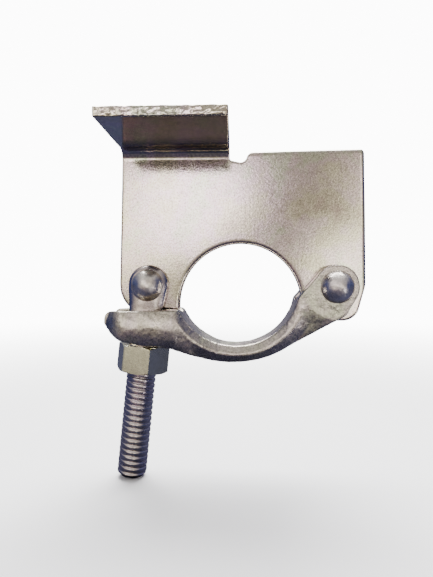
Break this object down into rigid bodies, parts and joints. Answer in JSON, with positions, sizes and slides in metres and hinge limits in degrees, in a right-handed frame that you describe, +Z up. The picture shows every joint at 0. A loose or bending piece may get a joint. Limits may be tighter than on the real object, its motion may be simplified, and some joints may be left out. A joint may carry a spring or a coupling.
{
  "type": "scaffold board clamp",
  "caption": "Scaffold board clamp: pressed plate with a bent board flange, a hinged forged strap and a swinging slotted bolt with nut that close round a tube.",
  "frame": {"origin": "centre of the half round tube seat, in the middle of the plate thickness", "axes": "+X to the right when facing the flange side, +Y along the tube away from the flange, +Z up from the tube to the flange"},
  "size_m": [0.1043, 0.0545, 0.1373],
  "materials": {
    "plated_sheet": "satin",
    "plated_forging": "satin",
    "plated_rivet": "satin",
    "plated_bolt": "polished",
    "plated_nut": "satin"
  },
  "bodies": {
    "plate": {"body_plate": "plated_sheet", "strap_rivet": "plated_rivet", "bolt_rivet": "plated_rivet"},
    "strap": {"clamp_strap": "plated_forging"},
    "bolt": {"hinge_bolt": "plated_bolt"},
    "nut": {"hex_nut": "plated_nut"}
  },
  "joints": [
    {"name": "strap_hinge", "type": "hinge", "parent": "plate", "child": "strap", "pos_m": [0.0375, 0, 0.0074], "axis": [0, -1, 0], "range_deg": [0, 28]},
    {"name": "bolt_swing", "type": "hinge", "parent": "plate", "child": "bolt", "pos_m": [-0.037, 0, 0.008], "axis": [0, 1, 0], "range_deg": [0, 90]},
    {"name": "nut_travel", "type": "slide", "parent": "bolt", "child": "nut", "axis": [-0.1028, 0, -0.9947], "range_m": [0, 0.043]}
  ],
  "couplings": [
    {"joint": "nut_travel", "follows": "strap_hinge", "m_per_rad": 0.086}
  ]
}
